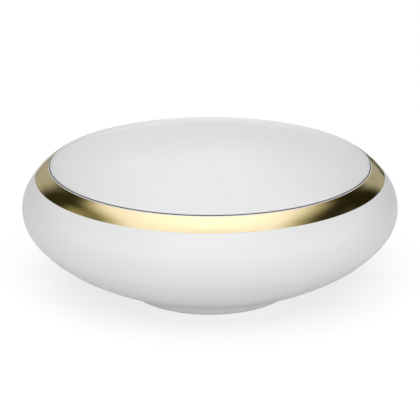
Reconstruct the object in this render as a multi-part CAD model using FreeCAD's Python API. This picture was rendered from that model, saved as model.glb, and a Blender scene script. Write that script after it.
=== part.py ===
import FreeCAD, Part
import math
import os
from collections import namedtuple

# Porcelain serving bowl, in millimetres. +Z is up, the axis of the bowl is the Z axis, and the
# origin is the centre of the circle on which the foot ring rests.
#
# Every layer is turned about Z. An outline is a chain of arcs that meet in the same direction.
# An arc's angles are the directions of its outward normal: 0 points away from the axis, 90 up,
# 180 back to the axis and 270 down. A negative radius makes the arc hollow, its centre outside
# the porcelain. So a parallel layer is the same chain with each radius changed by one thickness.

# Outside, measured on the glaze
BELLY_RADIUS = 130.0
BELLY_ARC_HEIGHT = 60.6
BELLY_ARC_RADIUS = 26.0
SHOULDER_RADIUS = 45.0
LOWER_WALL_RADIUS = 80.0
UNDERSIDE_RADIUS = 180.0
SHOULDER_ANGLE = 28.0
LOWER_WALL_ANGLE = -39.0
UNDERSIDE_ANGLE = -58.5
RIM_ANGLE = 59.5

# Lip and inside, measured on the glaze
LIP_THICKNESS = 3.8
LIP_CREST_RADIUS = 1.2
LIP_ROUND_RADIUS = 4.0
INNER_BELLY_RADIUS = 21.8
INNER_WALL_RADIUS = 75.0
INNER_HOLLOW_RADIUS = 130.0
FLOOR_ANGLE = -80.0

# Foot ring and the recess inside it
FOOT_RADIUS = 58.0
FOOT_WIDTH = 6.0
FOOT_FILLET_RADIUS = 2.0
FOOT_EDGE_RADIUS = 1.2
RECESS_HEIGHT = 3.4
RECESS_DOME_RADIUS = 600.0
RECESS_FILLET_RADIUS = 2.5

# Fired-on layers
GLAZE_THICKNESS = 0.3
GLAZE_STOP_HEIGHT = 1.6
DECORATION_THICKNESS = 0.15
GOLD_BAND_ANGLES = (42.4, 57.75)
RIM_LINE_ANGLES = (58.55, 59.45)

# Two points of an outline that lie closer together than this are one point.
SAME_POINT = 1e-6

Arc = namedtuple("Arc", "x z radius start end")


def corner(x, z, normal):
    """A point of an outline, as an arc of no radius, so that a parallel layer moves it too."""
    return Arc(x, z, 0.0, normal, normal)


def follow(arc, radius, end):
    """The arc that goes on from the end of another one in the same direction."""
    step = arc.radius - radius
    angle = math.radians(arc.end)
    return Arc(arc.x + step * math.cos(angle), arc.z + step * math.sin(angle), radius, arc.end, end)


def turn_back(arcs):
    """The same chain, run from its other end."""
    return [arc._replace(start=arc.end, end=arc.start) for arc in reversed(arcs)]


def raised(arcs, thickness):
    """The chain that runs parallel to another one, outside it; inside if thickness is negative."""
    return [arc._replace(radius=arc.radius + thickness) for arc in arcs]


def point(arc, angle):
    """The point of an arc whose outward normal has this angle."""
    turn = math.radians(angle)
    return FreeCAD.Vector(arc.x + arc.radius * math.cos(turn), 0.0, arc.z + arc.radius * math.sin(turn))


def turned(arcs):
    """The solid of revolution of a closed outline: its arcs, joined in order by straight lines."""
    edges = []
    for arc, following in zip(arcs, arcs[1:] + arcs[:1]):
        first, last = point(arc, arc.start), point(arc, arc.end)
        if first.distanceToPoint(last) > SAME_POINT:
            middle = point(arc, (arc.start + arc.end) / 2)
            edges.append(Part.Arc(first, middle, last).toShape())
        joined = point(following, following.start)
        if last.distanceToPoint(joined) > SAME_POINT:
            edges.append(Part.LineSegment(last, joined).toShape())
    face = Part.Face(Part.Wire(edges))
    return face.revolve(FreeCAD.Vector(0, 0, 0), FreeCAD.Vector(0, 0, 1), 360)


def layer(arcs, thickness):
    """A coat of even thickness that lies on a chain."""
    return turned(arcs + turn_back(raised(arcs, thickness)))


def part_of(arc, angles):
    """The stretch of an arc between two directions of its normal."""
    return arc._replace(start=angles[0], end=angles[1])


def outside(belly):
    """The glaze's surface below the belly, from the foot ring's glaze edge up to the belly."""
    lower_wall = follow(belly._replace(end=LOWER_WALL_ANGLE), LOWER_WALL_RADIUS, UNDERSIDE_ANGLE)
    underside = follow(lower_wall, UNDERSIDE_RADIUS, UNDERSIDE_ANGLE)
    reach = FOOT_RADIUS + FOOT_FILLET_RADIUS - underside.x
    junction = -math.degrees(math.acos(reach / (UNDERSIDE_RADIUS + FOOT_FILLET_RADIUS)))
    underside = underside._replace(end=junction)
    fillet = follow(underside, -FOOT_FILLET_RADIUS, 0.0)
    glaze_edge = corner(FOOT_RADIUS, GLAZE_STOP_HEIGHT, 0.0)
    return turn_back([lower_wall, underside, fillet, glaze_edge])


def lip_above(shoulder):
    """The lip's narrow crest and the wider round inside it, which runs on into the inner shoulder."""
    to_crest = SHOULDER_RADIUS - LIP_CREST_RADIUS
    to_round = SHOULDER_RADIUS - LIP_THICKNESS + LIP_ROUND_RADIUS
    step = LIP_ROUND_RADIUS - LIP_CREST_RADIUS
    turn = math.acos((to_crest ** 2 + step ** 2 - to_round ** 2) / (2 * to_crest * step))
    crest = follow(shoulder, LIP_CREST_RADIUS, RIM_ANGLE + math.degrees(turn))
    inner_round = follow(crest, LIP_ROUND_RADIUS, crest.end)
    end = math.degrees(math.atan2(shoulder.z - inner_round.z, shoulder.x - inner_round.x)) % 360
    return [crest, inner_round._replace(end=end)]


def inside(lip):
    """The glaze's surface inside the lip, down to the middle of the floor."""
    shoulder = follow(lip[-1], LIP_THICKNESS - SHOULDER_RADIUS, 180 + SHOULDER_ANGLE)
    belly = follow(shoulder, -INNER_BELLY_RADIUS, 180 + LOWER_WALL_ANGLE)
    wall = follow(belly, -INNER_WALL_RADIUS, 180 + UNDERSIDE_ANGLE)
    hollow = follow(wall, -INNER_HOLLOW_RADIUS, 180 + FLOOR_ANGLE)
    # The floor is part of a sphere centred on the axis of the bowl.
    floor_radius = hollow.radius + hollow.x / math.cos(math.radians(hollow.end))
    floor = follow(hollow, floor_radius, 90.0)
    return [shoulder, belly, wall, hollow, floor]


def recess():
    """The glaze's surface inside the foot ring, from its glaze edge to the middle of the base."""
    foot_wall = FOOT_RADIUS - FOOT_WIDTH
    reach = foot_wall - RECESS_FILLET_RADIUS
    junction = -math.degrees(math.acos(reach / (RECESS_DOME_RADIUS + RECESS_FILLET_RADIUS)))
    dome = Arc(0.0, RECESS_HEIGHT + RECESS_DOME_RADIUS, RECESS_DOME_RADIUS, -90.0, junction)
    fillet = follow(dome, -RECESS_FILLET_RADIUS, -180.0)
    glaze_edge = corner(foot_wall, GLAZE_STOP_HEIGHT, -180.0)
    return turn_back([dome, fillet, glaze_edge])


def foot_edges():
    """The two bare, rounded edges of the foot ring, with the flat it rests on between them."""
    inset = GLAZE_THICKNESS + FOOT_EDGE_RADIUS
    inner = Arc(FOOT_RADIUS - FOOT_WIDTH + inset, FOOT_EDGE_RADIUS, FOOT_EDGE_RADIUS, -180.0, -90.0)
    outer = Arc(FOOT_RADIUS - inset, FOOT_EDGE_RADIUS, FOOT_EDGE_RADIUS, -90.0, 0.0)
    return [inner, outer]


def make_nodes():
    belly = Arc(BELLY_RADIUS - BELLY_ARC_RADIUS, BELLY_ARC_HEIGHT, BELLY_ARC_RADIUS,
                LOWER_WALL_ANGLE, SHOULDER_ANGLE)
    shoulder = follow(belly, SHOULDER_RADIUS, RIM_ANGLE)
    lip = lip_above(shoulder)
    coat = outside(belly) + [belly, shoulder] + lip + inside(lip)
    base = recess()
    body = turn_back(raised(base, -GLAZE_THICKNESS)) + foot_edges() + raised(coat, -GLAZE_THICKNESS)
    return {
        "porcelain_body": turned(body),
        "clear_glaze_coat": layer(coat, -GLAZE_THICKNESS),
        "base_glaze": layer(base, -GLAZE_THICKNESS),
        "gold_band": layer([part_of(shoulder, GOLD_BAND_ANGLES)], DECORATION_THICKNESS),
        "rim_line": layer([part_of(shoulder, RIM_LINE_ANGLES)], DECORATION_THICKNESS),
    }


os.makedirs("parts", exist_ok=True)
for name, shape in make_nodes().items():
    box = shape.optimalBoundingBox(False)
    print(f"{name}: valid {shape.isValid()}, {shape.Volume / 1000:.2f} cm3, "
          f"radius {box.XMax:.2f} mm, Z {box.ZMin:.2f} to {box.ZMax:.2f} mm")
    shape.exportStep(f"parts/{name}.step")
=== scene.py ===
"""Porcelain serving bowl with a satin gold shoulder band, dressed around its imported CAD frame.

Every piece is turned about Z from the same chain of arcs as its CAD node. An arc's angles are the
directions of its outward normal: 0 points away from the axis, 90 up, 180 back to the axis. A
negative radius makes the arc hollow. Lengths are in metres and angles in degrees.
"""

import math
from collections import namedtuple

import bmesh
import bpy
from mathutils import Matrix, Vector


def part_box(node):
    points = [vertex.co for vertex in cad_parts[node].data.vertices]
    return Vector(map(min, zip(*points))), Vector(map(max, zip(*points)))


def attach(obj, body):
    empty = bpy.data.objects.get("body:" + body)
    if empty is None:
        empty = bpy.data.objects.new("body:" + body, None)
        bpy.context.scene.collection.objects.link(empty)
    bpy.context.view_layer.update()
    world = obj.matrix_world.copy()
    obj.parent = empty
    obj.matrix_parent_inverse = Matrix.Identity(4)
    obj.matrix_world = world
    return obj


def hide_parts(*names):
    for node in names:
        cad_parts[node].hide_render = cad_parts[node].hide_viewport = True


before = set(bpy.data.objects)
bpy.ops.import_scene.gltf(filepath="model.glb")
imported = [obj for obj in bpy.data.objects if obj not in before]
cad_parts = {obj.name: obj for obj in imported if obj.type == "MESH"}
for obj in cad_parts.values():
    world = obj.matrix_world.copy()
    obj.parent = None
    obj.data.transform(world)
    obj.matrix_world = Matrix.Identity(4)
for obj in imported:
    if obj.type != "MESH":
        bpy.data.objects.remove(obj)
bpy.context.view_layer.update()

MM = 0.001

# Heights that the frame gives
COAT_LOW, COAT_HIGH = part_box("clear_glaze_coat")
REST_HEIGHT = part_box("porcelain_body")[0].z
GLAZE_STOP = COAT_LOW.z
CREST_HEIGHT = COAT_HIGH.z

# The outline's driving sizes, as in the CAD part
BELLY_RADIUS = 130.0 * MM
BELLY_ARC_RADIUS = 26.0 * MM
SHOULDER_RADIUS = 45.0 * MM
LOWER_WALL_RADIUS = 80.0 * MM
UNDERSIDE_RADIUS = 180.0 * MM
SHOULDER_ANGLE = 28.0
LOWER_WALL_ANGLE = -39.0
UNDERSIDE_ANGLE = -58.5
RIM_ANGLE = 59.5
LIP_THICKNESS = 3.8 * MM
LIP_CREST_RADIUS = 1.2 * MM
LIP_ROUND_RADIUS = 4.0 * MM
INNER_BELLY_RADIUS = 21.8 * MM
INNER_WALL_RADIUS = 75.0 * MM
INNER_HOLLOW_RADIUS = 130.0 * MM
FLOOR_ANGLE = -80.0
FOOT_RADIUS = 58.0 * MM
FOOT_WIDTH = 6.0 * MM
FOOT_FILLET_RADIUS = 2.0 * MM
FOOT_EDGE_RADIUS = 1.2 * MM
RECESS_HEIGHT = 3.4 * MM
RECESS_DOME_RADIUS = 600.0 * MM
RECESS_FILLET_RADIUS = 2.5 * MM
GLAZE_THICKNESS = 0.3 * MM
FILM_THICKNESS = 0.05 * MM
GOLD_BAND_ANGLES = (42.4, 57.75)
RIM_LINE_ANGLES = (58.55, 59.45)

# Facets
TURNS = 336
LONGEST_STEP = 4.0 * MM
LARGEST_TURN = 6.0
SAME_POINT = 1e-7
ON_AXIS = 1e-6
SHARP_EDGE = 50.0

# Materials. Scales are about how many lumps of a noise lie along a metre. Roughness is (least,
# most). Depths are those of the bumps.
NOISE_RANGE = (0.3, 0.7)
# The glaze's colour inside, and the darker colour painted on its outside and over its lip as
# painted shade.
GLAZE_INSIDE = (0.952, 0.952, 0.953)
GLAZE_OUTSIDE_PAINTED_SHADE = (0.785, 0.785, 0.787)
GLAZE_CLOUD_SCALE = 14.0
GLAZE_CLOUDING = (-0.12, 0.12)
GLAZE_ROUGHNESS_SCALE = 60.0
GLAZE_ROUGHNESS = (0.28, 0.34)
GLAZE_IOR = 1.5
GLAZE_SHINE = 0.4
GLAZE_WAVE_SCALE = 45.0
GLAZE_WAVE_DEPTH = 0.06 * MM
GLAZE_SKIN_SCALE = 420.0
GLAZE_SKIN_DEPTH = 0.004 * MM
# Where the painted shade on the outside fades in, and how far below the crest the painted shade on
# the lip reaches.
OUTSIDE_SHADE_SPREAD = (0.03, 0.25)
LIP_SHADE_DEPTH = 4.0 * MM
BISCUIT_COLOURS = [(0.70, 0.68, 0.63), (0.80, 0.79, 0.75)]
BISCUIT_ROUGHNESS = (0.65, 0.8)
BISCUIT_GRAIN_SCALE = 1800.0
BISCUIT_GRAIN_DEPTH = 0.03 * MM
GOLD_COLOURS = [(0.865, 0.725, 0.415), (0.895, 0.765, 0.455)]
GOLD_ROUGHNESS = (0.11, 0.15)
GOLD_CLOUD_SCALE = 30.0
GOLD_SKIN_SCALE = 900.0
GOLD_SKIN_DEPTH = 0.004 * MM
ENAMEL_COLOURS = [(0.006, 0.006, 0.007), (0.016, 0.014, 0.017)]
ENAMEL_ROUGHNESS = (0.35, 0.45)
ENAMEL_CLOUD_SCALE = 220.0
ENAMEL_SHINE = 0.2
PAPER_CLOUD_SCALE = 3.0
PAPER_MOTTLE = (0.98, 1.0)
PAPER_ROUGHNESS = 0.9
PAPER_SHINE = 0.1

# Camera and studio
CAMERA_DISTANCE = 1.2
CAMERA_ELEVATION = 19.36
AIM_HEIGHT = 55.2 * MM
IMAGE_PIXELS = 420
FOCAL_PIXELS = 1721.6
SENSOR_WIDTH = 36.0
CLIP_START = 0.05
CLIP_END = 100.0
WHITE = (1.0, 1.0, 1.0)

# The paper that the camera sees glows, and rises to a wall far behind. The paper that lights the
# bowl from below doesn't glow: it lies a little lower, where the camera doesn't see it.
PAPER_RADIUS = 2.5
PAPER_COVE_RADIUS = 1.0
PAPER_WALL_HEIGHT = 4.0
PAPER_GLOW = 0.66
SEEN_PAPER_TONE = 0.45
LIGHTING_PAPER_TONE = 0.84
LIGHTING_PAPER_RADIUS = 0.7
PAPER_GAP = 0.1 * MM

# Lights around the bowl. Planes are (normal that points into the light, softness in degrees).
# Heights are the degrees above the floor where a light starts, is full, fades and ends. Spreads are
# where a light starts and is full, as the cosine of the angle from its direction.
ROOM_COLOUR = (0.013, 0.0115, 0.0015)
ROOM_LEFT_COLOUR = (0.013, 0.013, 0.006)
ROOM_LEFT_SPREAD = (-0.3, 0.5)
TOP_LIGHT_WARMTH = (1.0, 0.94, 0.50)
TOP_LIGHT_COOLNESS = (0.0, 0.06, 0.63)
TOP_LIGHT_PLANES = [((1.22, 0.0, 1.0), 9.0), ((-1.46, 0.0, 1.0), 9.5),
                    ((0.0, 2.05, 1.0), 10.0), ((0.0, -1.6, 1.0), 8.0)]
TOP_LIGHT_EDGE = 1.08
TOP_LIGHT_CENTRE = 1.38
TOP_LIGHT_EDGE_HEIGHT = 60.0
KEY_LIGHT = 6.9
KEY_LIGHT_HEIGHTS = (36.0, 49.0, 51.0, 64.0)
KEY_LIGHT_SPREAD = (0.3, 1.0)
WRAP_LIGHT = 1.5
WRAP_LIGHT_HEIGHTS = (-8.0, 6.0, 22.0, 38.0)
WRAP_LIGHT_SPREAD = (-0.5, 0.5)
RIGHT_LIGHT = 0.35
RIGHT_LIGHT_DIRECTION = (0.906, -0.423, 0.0)
RIGHT_LIGHT_HEIGHTS = (2.0, 16.0, 24.0, 44.0)
RIGHT_LIGHT_SPREAD = (0.45, 0.98)
BACKDROP_COLOUR = (0.40, 0.40, 0.365)
BACKDROP_HEIGHTS = (-2.0, -1.0, 18.0, 28.0)
BACKDROP_TOP_COLOUR = (0.17, 0.165, 0.14)
BACKDROP_TOP_HEIGHTS = (16.0, 28.0, 45.0, 60.0)
BACKDROP_PLANES = [((-0.788, 0.616, 0.0), 4.5), ((0.777, 0.629, 0.0), 6.0)]
REFLECTOR_DIRECTION = (-0.844, 0.195, 0.500)
REFLECTOR_SPREAD = (0.956, 0.997)
REFLECTOR_COLOUR = (0.30, 0.28, 0.16)
LOW_BOARD_HEIGHTS = (-20.0, -12.0, -4.0, -1.0)
LOW_BOARD_SPREAD = (0.0, 0.1)

Arc = namedtuple("Arc", "x z radius start end")


# ---------------------------------------------------------------- outline

def corner(x, z, normal):
    """A point of an outline, as an arc of no radius."""
    return Arc(x, z, 0.0, normal, normal)


def follow(arc, radius, end):
    """The arc that goes on from the end of another one in the same direction."""
    step = arc.radius - radius
    angle = math.radians(arc.end)
    return Arc(arc.x + step * math.cos(angle), arc.z + step * math.sin(angle), radius, arc.end, end)


def turn_back(arcs):
    """The same chain, run from its other end."""
    return [arc._replace(start=arc.end, end=arc.start) for arc in reversed(arcs)]


def raised(arcs, thickness):
    """The chain that runs parallel to another one, outside it; inside if thickness is negative."""
    return [arc._replace(radius=arc.radius + thickness) for arc in arcs]


def points(arcs):
    """Points along a chain, close enough together to look round."""
    found = []
    for arc in arcs:
        sweep = arc.end - arc.start
        length = abs(arc.radius * math.radians(sweep))
        steps = max(1, math.ceil(length / LONGEST_STEP), math.ceil(abs(sweep) / LARGEST_TURN))
        for i in range(steps + 1):
            angle = math.radians(arc.start + sweep * i / steps)
            spot = (arc.x + arc.radius * math.cos(angle), arc.z + arc.radius * math.sin(angle))
            if not found or math.dist(spot, found[-1]) > SAME_POINT:
                found.append(spot)
    return found


def lip_above(shoulder):
    """The lip's narrow crest and the wider round inside it, down to the inner shoulder."""
    to_crest = SHOULDER_RADIUS - LIP_CREST_RADIUS
    to_round = SHOULDER_RADIUS - LIP_THICKNESS + LIP_ROUND_RADIUS
    step = LIP_ROUND_RADIUS - LIP_CREST_RADIUS
    turn = math.acos((to_crest ** 2 + step ** 2 - to_round ** 2) / (2 * to_crest * step))
    crest = follow(shoulder, LIP_CREST_RADIUS, RIM_ANGLE + math.degrees(turn))
    inner_round = follow(crest, LIP_ROUND_RADIUS, crest.end)
    end = math.degrees(math.atan2(shoulder.z - inner_round.z, shoulder.x - inner_round.x)) % 360
    return [crest, inner_round._replace(end=end)]


def crest_above_belly():
    """How far the lip's crest stands above the centre of the belly's arc."""
    belly = Arc(0.0, 0.0, BELLY_ARC_RADIUS, LOWER_WALL_ANGLE, SHOULDER_ANGLE)
    crest = lip_above(follow(belly, SHOULDER_RADIUS, RIM_ANGLE))[0]
    return crest.z + LIP_CREST_RADIUS


BELLY = Arc(BELLY_RADIUS - BELLY_ARC_RADIUS, CREST_HEIGHT - crest_above_belly(), BELLY_ARC_RADIUS,
            LOWER_WALL_ANGLE, SHOULDER_ANGLE)
SHOULDER = follow(BELLY, SHOULDER_RADIUS, RIM_ANGLE)
LIP = lip_above(SHOULDER)


def outside():
    """The glaze's surface below the belly, from the foot ring's glaze edge up to the belly."""
    lower_wall = follow(BELLY._replace(end=LOWER_WALL_ANGLE), LOWER_WALL_RADIUS, UNDERSIDE_ANGLE)
    underside = follow(lower_wall, UNDERSIDE_RADIUS, UNDERSIDE_ANGLE)
    reach = FOOT_RADIUS + FOOT_FILLET_RADIUS - underside.x
    junction = -math.degrees(math.acos(reach / (UNDERSIDE_RADIUS + FOOT_FILLET_RADIUS)))
    underside = underside._replace(end=junction)
    fillet = follow(underside, -FOOT_FILLET_RADIUS, 0.0)
    return turn_back([lower_wall, underside, fillet, corner(FOOT_RADIUS, GLAZE_STOP, 0.0)])


def inside():
    """The glaze's surface inside the lip, down to the middle of the floor."""
    shoulder = follow(LIP[-1], LIP_THICKNESS - SHOULDER_RADIUS, 180 + SHOULDER_ANGLE)
    belly = follow(shoulder, -INNER_BELLY_RADIUS, 180 + LOWER_WALL_ANGLE)
    wall = follow(belly, -INNER_WALL_RADIUS, 180 + UNDERSIDE_ANGLE)
    hollow = follow(wall, -INNER_HOLLOW_RADIUS, 180 + FLOOR_ANGLE)
    floor_radius = hollow.radius + hollow.x / math.cos(math.radians(hollow.end))
    return [shoulder, belly, wall, hollow, follow(hollow, floor_radius, 90.0)]


def recess():
    """The glaze's surface inside the foot ring, from its glaze edge to the middle of the base."""
    foot_wall = FOOT_RADIUS - FOOT_WIDTH
    reach = foot_wall - RECESS_FILLET_RADIUS
    junction = -math.degrees(math.acos(reach / (RECESS_DOME_RADIUS + RECESS_FILLET_RADIUS)))
    dome = Arc(0.0, RECESS_HEIGHT + RECESS_DOME_RADIUS, RECESS_DOME_RADIUS, -90.0, junction)
    fillet = follow(dome, -RECESS_FILLET_RADIUS, -180.0)
    return turn_back([dome, fillet, corner(foot_wall, GLAZE_STOP, -180.0)])


# ---------------------------------------------------------------- meshes

def ring_at(mesh, radius, height):
    """The vertices of one ring of a turned mesh, or its single point on the axis."""
    if radius < ON_AXIS:
        return [mesh.verts.new((0.0, 0.0, height))]
    angles = [2 * math.pi * k / TURNS for k in range(TURNS)]
    return [mesh.verts.new((radius * math.cos(a), radius * math.sin(a), height)) for a in angles]


def join_rings(mesh, ring, following):
    """The band of faces between two rings; round a point on the axis they are triangles."""
    for k in range(TURNS):
        j = (k + 1) % TURNS
        quad = [ring[k % len(ring)], ring[j % len(ring)],
                following[j % len(following)], following[k % len(following)]]
        corners = list(dict.fromkeys(quad))
        if len(corners) > 2:
            mesh.faces.new(corners)


def turned(name, outline, closed=True):
    """A mesh turned about Z from an outline of (radius, height) points."""
    mesh = bmesh.new()
    rings = [ring_at(mesh, radius, height) for radius, height in outline]
    for ring, following in zip(rings, rings[1:]):
        join_rings(mesh, ring, following)
    if closed:
        join_rings(mesh, rings[-1], rings[0])
    bmesh.ops.recalc_face_normals(mesh, faces=mesh.faces)
    for face in mesh.faces:
        face.smooth = True
    data = bpy.data.meshes.new(name)
    mesh.to_mesh(data)
    mesh.free()
    data.set_sharp_from_angle(angle=math.radians(SHARP_EDGE))
    piece = bpy.data.objects.new(name, data)
    bpy.context.scene.collection.objects.link(piece)
    return piece


def coat(name, arcs, thickness):
    """A thin layer between a chain and the one parallel to it."""
    return turned(name, points(arcs) + points(turn_back(raised(arcs, thickness))))


# ---------------------------------------------------------------- materials

def new_material(name):
    """A new material, with its node tree and its Principled shader."""
    material = bpy.data.materials.new(name)
    material.use_nodes = True
    tree = material.node_tree
    shader = next(n for n in tree.nodes if n.type == "BSDF_PRINCIPLED")
    return material, tree, shader


def add(tree, kind, **settings):
    """A node with its properties and, by the name of the socket, its inputs."""
    node = tree.nodes.new(kind)
    for key, value in settings.items():
        if hasattr(node, key):
            setattr(node, key, value)
        else:
            node.inputs[key.replace("_", " ")].default_value = value
    return node


def object_place(tree):
    """Where a point of the piece lies, in the bowl's own frame."""
    return add(tree, "ShaderNodeTexCoord").outputs["Object"]


def noise(tree, vector, scale, detail=3.0):
    """Smooth noise about a point, mostly between 0.3 and 0.7."""
    node = add(tree, "ShaderNodeTexNoise", Scale=scale, Detail=detail, Roughness=0.5)
    tree.links.new(vector, node.inputs["Vector"])
    return node.outputs["Fac"]


def stretched(tree, value, low, high):
    """Noise spread out between two values."""
    return mapped(tree, value, *NOISE_RANGE, low, high)


def mapped(tree, value, low, high, to_low, to_high):
    """A value carried in a straight line from one range to another."""
    node = tree.nodes.new("ShaderNodeMapRange")
    for i, v in enumerate((low, high, to_low, to_high)):
        node.inputs[i + 1].default_value = v
    tree.links.new(value, node.inputs[0])
    return node.outputs[0]


def ramp(tree, value, stops):
    """A colour ramp: stops are (position, colour)."""
    node = tree.nodes.new("ShaderNodeValToRGB")
    elements = node.color_ramp.elements
    while len(elements) < len(stops):
        elements.new(0.5)
    for element, (position, colour) in zip(elements, stops):
        element.position = position
        element.color = (*colour, 1.0)
    tree.links.new(value, node.inputs["Fac"])
    return node.outputs["Color"]


def smooth_step(tree, value, low, high):
    """0 below the low value, 1 above the high one, and a smooth rise between them."""
    node = tree.nodes.new("ShaderNodeMapRange")
    node.interpolation_type = "SMOOTHSTEP"
    node.inputs["From Min"].default_value = low
    node.inputs["From Max"].default_value = high
    tree.links.new(value, node.inputs["Value"])
    return node.outputs["Result"]


def maths(tree, operation, *values):
    """The result of one operation on numbers or sockets."""
    node = tree.nodes.new("ShaderNodeMath")
    node.operation = operation
    for socket, value in zip(node.inputs, values):
        if isinstance(value, (int, float)):
            socket.default_value = value
        else:
            tree.links.new(value, socket)
    return node.outputs[0]


def vector_maths(tree, operation, *values):
    """The result of one operation on vectors, given as tuples or sockets."""
    node = tree.nodes.new("ShaderNodeVectorMath")
    node.operation = operation
    for socket, value in zip(node.inputs, values):
        if isinstance(value, tuple):
            socket.default_value = value
        else:
            tree.links.new(value, socket)
    return node.outputs["Value" if operation == "DOT_PRODUCT" else "Vector"]


def product(tree, values):
    """All the values multiplied together."""
    total = values[0]
    for value in values[1:]:
        total = maths(tree, "MULTIPLY", total, value)
    return total


def sine(angle):
    """The height of a direction that stands this many degrees above the floor."""
    return math.sin(math.radians(angle))


def bump(tree, layers):
    """Bumps stacked on each other: layers are (height socket, depth in metres)."""
    normal = None
    for height, depth in layers:
        node = tree.nodes.new("ShaderNodeBump")
        node.inputs["Strength"].default_value = 1.0
        node.inputs["Distance"].default_value = depth
        tree.links.new(height, node.inputs["Height"])
        if normal is not None:
            tree.links.new(normal, node.inputs["Normal"])
        normal = node.outputs["Normal"]
    return normal


def painted_shade_outside(tree, place):
    """Painted shade mask for the glaze: 1 where a surface faces away from the axis, 0 where it
    faces the axis, up or down.
    """
    around = vector_maths(tree, "NORMALIZE", vector_maths(tree, "MULTIPLY", place, (1.0, 1.0, 0.0)))
    normal = tree.nodes.new("ShaderNodeNewGeometry").outputs["Normal"]
    return smooth_step(tree, vector_maths(tree, "DOT_PRODUCT", normal, around), *OUTSIDE_SHADE_SPREAD)


def painted_shade_on_lip(tree, place):
    """Painted shade mask for the glaze: 1 along the lip's crest, 0 a few millimetres below it."""
    axes = tree.nodes.new("ShaderNodeSeparateXYZ")
    tree.links.new(place, axes.inputs[0])
    return smooth_step(tree, axes.outputs["Z"], CREST_HEIGHT - LIP_SHADE_DEPTH, CREST_HEIGHT)


def glaze_material():
    """Clear glaze over white porcelain, whitest inside, with shade painted into its colour: darker
    on the outside and over the lip.
    """
    material, tree, shader = new_material("clear_glaze_over_porcelain")
    place = object_place(tree)
    cloud = stretched(tree, noise(tree, place, GLAZE_CLOUD_SCALE), *GLAZE_CLOUDING)
    # Painted shade: the glaze's colour darkens on the outside and over the lip.
    painted_shade = maths(tree, "MAXIMUM", painted_shade_outside(tree, place), painted_shade_on_lip(tree, place))
    tone = maths(tree, "ADD", painted_shade, cloud)
    colour = ramp(tree, tone, [(0.0, GLAZE_INSIDE), (1.0, GLAZE_OUTSIDE_PAINTED_SHADE)])
    tree.links.new(colour, shader.inputs["Base Color"])
    rough = stretched(tree, noise(tree, place, GLAZE_ROUGHNESS_SCALE), *GLAZE_ROUGHNESS)
    tree.links.new(rough, shader.inputs["Roughness"])
    shader.inputs["IOR"].default_value = GLAZE_IOR
    shader.inputs["Specular IOR Level"].default_value = GLAZE_SHINE
    waves = noise(tree, place, GLAZE_WAVE_SCALE, 2.0)
    skin = noise(tree, place, GLAZE_SKIN_SCALE, 2.0)
    normal = bump(tree, [(waves, GLAZE_WAVE_DEPTH), (skin, GLAZE_SKIN_DEPTH)])
    tree.links.new(normal, shader.inputs["Normal"])
    return material


def clouded(tree, shader, cloud, colours, roughness):
    """Lets a material's colour and roughness follow one noise."""
    share = stretched(tree, cloud, 0.0, 1.0)
    colour = ramp(tree, share, [(0.0, colours[0]), (1.0, colours[1])])
    tree.links.new(colour, shader.inputs["Base Color"])
    tree.links.new(stretched(tree, cloud, *roughness), shader.inputs["Roughness"])


def biscuit_material():
    """Bare fired porcelain, matt and finely grained, as on the foot ring's resting edge."""
    material, tree, shader = new_material("bare_fired_porcelain")
    grain = noise(tree, object_place(tree), BISCUIT_GRAIN_SCALE, 4.0)
    clouded(tree, shader, grain, BISCUIT_COLOURS, BISCUIT_ROUGHNESS)
    tree.links.new(bump(tree, [(grain, BISCUIT_GRAIN_DEPTH)]), shader.inputs["Normal"])
    return material


def gold_material():
    """Fired gold with a satin skin."""
    material, tree, shader = new_material("satin_gold")
    place = object_place(tree)
    clouded(tree, shader, noise(tree, place, GOLD_CLOUD_SCALE, 4.0), GOLD_COLOURS, GOLD_ROUGHNESS)
    shader.inputs["Metallic"].default_value = 1.0
    skin = noise(tree, place, GOLD_SKIN_SCALE)
    tree.links.new(bump(tree, [(skin, GOLD_SKIN_DEPTH)]), shader.inputs["Normal"])
    return material


def enamel_material():
    """Black ceramic paint, fired and a little uneven."""
    material, tree, shader = new_material("black_enamel")
    cloud = noise(tree, object_place(tree), ENAMEL_CLOUD_SCALE)
    clouded(tree, shader, cloud, ENAMEL_COLOURS, ENAMEL_ROUGHNESS)
    shader.inputs["Specular IOR Level"].default_value = ENAMEL_SHINE
    return material


# ---------------------------------------------------------------- pieces

def place_piece(piece, node, material):
    """Gives a piece its material, hangs it under the root body, and hides the CAD node it stands
    for.
    """
    piece.data.materials.append(material)
    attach(piece, "root")
    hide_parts(node)


def foot_edges():
    """The two bare, rounded edges of the foot ring, with the flat it rests on between them."""
    inset = GLAZE_THICKNESS + FOOT_EDGE_RADIUS
    height = REST_HEIGHT + FOOT_EDGE_RADIUS
    inner = Arc(FOOT_RADIUS - FOOT_WIDTH + inset, height, FOOT_EDGE_RADIUS, -180.0, -90.0)
    outer = Arc(FOOT_RADIUS - inset, height, FOOT_EDGE_RADIUS, -90.0, 0.0)
    return [inner, outer]


def painted(name, angles):
    """A thin film on the shoulder, between two directions of its normal."""
    stretch = SHOULDER._replace(start=angles[0], end=angles[1])
    return coat(name, [stretch], FILM_THICKNESS)


def make_pieces():
    """The five pieces that stand for the five CAD nodes."""
    coat_arcs = outside() + [BELLY, SHOULDER] + LIP + inside()
    base_arcs = recess()
    body_arcs = (turn_back(raised(base_arcs, -GLAZE_THICKNESS)) + foot_edges()
                 + raised(coat_arcs, -GLAZE_THICKNESS))
    glaze = glaze_material()
    place_piece(turned("fired_porcelain_body", points(body_arcs)),
                "porcelain_body", biscuit_material())
    place_piece(coat("glaze_over_bowl", coat_arcs, -GLAZE_THICKNESS),
                "clear_glaze_coat", glaze)
    place_piece(coat("glaze_under_base", base_arcs, -GLAZE_THICKNESS),
                "base_glaze", glaze)
    place_piece(painted("gold_shoulder_band", GOLD_BAND_ANGLES),
                "gold_band", gold_material())
    place_piece(painted("black_rim_line", RIM_LINE_ANGLES),
                "rim_line", enamel_material())


# ---------------------------------------------------------------- studio

def grey(level):
    """A colour without hue."""
    return (level, level, level)


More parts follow.
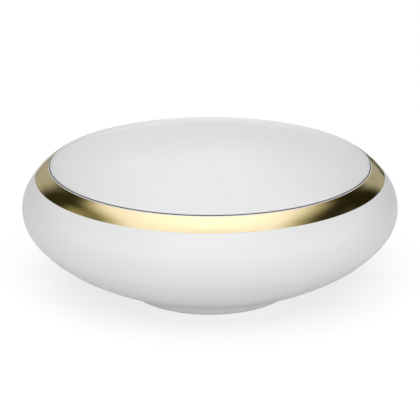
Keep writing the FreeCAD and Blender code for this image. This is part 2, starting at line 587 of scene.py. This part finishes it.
def paper(name, tone, glow):
    """Matt pale paper, which may glow a little."""
    material, tree, shader = new_material(name)
    shade = stretched(tree, noise(tree, object_place(tree), PAPER_CLOUD_SCALE), *PAPER_MOTTLE)
    colour = vector_maths(tree, "MULTIPLY", grey(tone), shade)
    tree.links.new(colour, shader.inputs["Base Color"])
    shader.inputs["Roughness"].default_value = PAPER_ROUGHNESS
    shader.inputs["Specular IOR Level"].default_value = PAPER_SHINE
    shader.inputs["Emission Color"].default_value = (*WHITE, 1.0)
    shader.inputs["Emission Strength"].default_value = glow
    return material


def make_paper(name, outline, material):
    """A sheet turned about Z, which belongs to the studio."""
    sheet = turned(name, outline, closed=False)
    sheet.data.materials.append(material)
    return sheet


def make_seen_floor():
    """The glowing paper that only the camera sees."""
    cove = Arc(PAPER_RADIUS, REST_HEIGHT + PAPER_COVE_RADIUS, PAPER_COVE_RADIUS, -90.0, 0.0)
    top = (PAPER_RADIUS + PAPER_COVE_RADIUS, REST_HEIGHT + PAPER_WALL_HEIGHT)
    sheet = make_paper("studio_floor", [(0.0, REST_HEIGHT)] + points([cove]) + [top],
                       paper("pale_paper", SEEN_PAPER_TONE, PAPER_GLOW))
    sheet.visible_diffuse = False
    sheet.visible_glossy = False
    sheet.visible_transmission = False
    sheet.visible_shadow = False


def make_lighting_floor():
    """The white paper that lights the bowl from below, and that the camera doesn't see."""
    height = REST_HEIGHT - PAPER_GAP
    sheet = make_paper("studio_floor_below", [(0.0, height), (LIGHTING_PAPER_RADIUS, height)],
                       paper("white_paper", LIGHTING_PAPER_TONE, 0.0))
    sheet.visible_camera = False


def beyond(tree, direction, plane, softness):
    """1 on the side of a plane through the bowl that its normal points to, 0 on the other side."""
    length = math.hypot(*plane)
    normal = tuple(axis / length for axis in plane)
    depth = vector_maths(tree, "DOT_PRODUCT", direction, normal)
    return smooth_step(tree, depth, -sine(softness), sine(softness))


def between(tree, height, angles):
    """1 between two angles above the floor, with a soft edge on each side."""
    start, full, fading, end = (sine(angle) for angle in angles)
    rise = smooth_step(tree, height, start, full)
    fall = smooth_step(tree, height, fading, end)
    return maths(tree, "MULTIPLY", rise, maths(tree, "SUBTRACT", 1.0, fall))


def shine(tree, colour, *factors):
    """The light of one source: its colour times how much of it shows in a direction."""
    node = tree.nodes.new("ShaderNodeVectorMath")
    node.operation = "SCALE"
    node.inputs["Vector"].default_value = colour
    tree.links.new(product(tree, factors), node.inputs["Scale"])
    return node.outputs["Vector"]


def overhead_light(tree, direction, height):
    """A large soft box above the bowl, brightest straight above it and warmer at its soft edges."""
    sides = [beyond(tree, direction, plane, softness) for plane, softness in TOP_LIGHT_PLANES]
    inside_box = product(tree, sides)
    level = mapped(tree, height, sine(TOP_LIGHT_EDGE_HEIGHT), 1.0, TOP_LIGHT_EDGE, TOP_LIGHT_CENTRE)
    warm = shine(tree, TOP_LIGHT_WARMTH, inside_box, level)
    cool = shine(tree, TOP_LIGHT_COOLNESS, inside_box, inside_box, level)
    return vector_maths(tree, "ADD", warm, cool)


def front_light(tree, height, forward, level, heights, spread):
    """A soft light in front of the bowl."""
    return shine(tree, grey(level), between(tree, height, heights),
                 smooth_step(tree, forward, *spread))


def right_light(tree, direction, height):
    """A weak, low light that stands to the right in front of the bowl."""
    facing = vector_maths(tree, "DOT_PRODUCT", direction, RIGHT_LIGHT_DIRECTION)
    return shine(tree, grey(RIGHT_LIGHT), between(tree, height, RIGHT_LIGHT_HEIGHTS),
                 smooth_step(tree, facing, *RIGHT_LIGHT_SPREAD))


def backdrop(tree, direction, height, colour, heights):
    """A pale wall behind the bowl, between two upright edges."""
    edges = [beyond(tree, direction, plane, softness) for plane, softness in BACKDROP_PLANES]
    return shine(tree, colour, *edges, between(tree, height, heights))


def low_board(tree, height, left):
    """The left half of the backdrop's foot, which reaches down to the table."""
    return shine(tree, BACKDROP_COLOUR, between(tree, height, LOW_BOARD_HEIGHTS),
                 smooth_step(tree, left, *LOW_BOARD_SPREAD))


def left_reflector(tree, direction):
    """A dim warm board low on the left."""
    facing = vector_maths(tree, "DOT_PRODUCT", direction, REFLECTOR_DIRECTION)
    return shine(tree, REFLECTOR_COLOUR, smooth_step(tree, facing, *REFLECTOR_SPREAD))


def make_world():
    """A dark room with soft lights above and in front of the bowl, and a pale wall behind it."""
    world = bpy.data.worlds.new("studio_room")
    bpy.context.scene.world = world
    world.use_nodes = True
    tree = world.node_tree
    background = next(n for n in tree.nodes if n.type == "BACKGROUND")
    direction = add(tree, "ShaderNodeTexCoord").outputs["Generated"]
    axes = tree.nodes.new("ShaderNodeSeparateXYZ")
    tree.links.new(direction, axes.inputs[0])
    height = axes.outputs["Z"]
    forward = maths(tree, "MULTIPLY", axes.outputs["Y"], -1.0)
    left = maths(tree, "MULTIPLY", axes.outputs["X"], -1.0)
    lights = [shine(tree, ROOM_LEFT_COLOUR, smooth_step(tree, left, *ROOM_LEFT_SPREAD)),
              overhead_light(tree, direction, height),
              front_light(tree, height, forward, KEY_LIGHT, KEY_LIGHT_HEIGHTS, KEY_LIGHT_SPREAD),
              front_light(tree, height, forward, WRAP_LIGHT, WRAP_LIGHT_HEIGHTS, WRAP_LIGHT_SPREAD),
              right_light(tree, direction, height),
              backdrop(tree, direction, height, BACKDROP_COLOUR, BACKDROP_HEIGHTS),
              backdrop(tree, direction, height, BACKDROP_TOP_COLOUR, BACKDROP_TOP_HEIGHTS),
              low_board(tree, height, left),
              left_reflector(tree, direction)]
    total = ROOM_COLOUR
    for light in lights:
        total = vector_maths(tree, "ADD", total, light)
    tree.links.new(total, background.inputs["Color"])


def make_camera():
    """The camera in front of the bowl, looking a little down at it."""
    camera = bpy.data.cameras.new("camera")
    camera.sensor_width = SENSOR_WIDTH
    camera.lens = FOCAL_PIXELS * SENSOR_WIDTH / IMAGE_PIXELS
    camera.clip_start = CLIP_START
    camera.clip_end = CLIP_END
    holder = bpy.data.objects.new("camera", camera)
    elevation = math.radians(CAMERA_ELEVATION)
    holder.location = (0.0, -CAMERA_DISTANCE * math.cos(elevation),
                       AIM_HEIGHT + CAMERA_DISTANCE * math.sin(elevation))
    holder.rotation_euler = (math.radians(90.0 - CAMERA_ELEVATION), 0.0, 0.0)
    bpy.context.scene.collection.objects.link(holder)
    bpy.context.scene.camera = holder


make_pieces()
make_seen_floor()
make_lighting_floor()
make_world()
make_camera()
bpy.context.scene.view_settings.view_transform = "Standard"
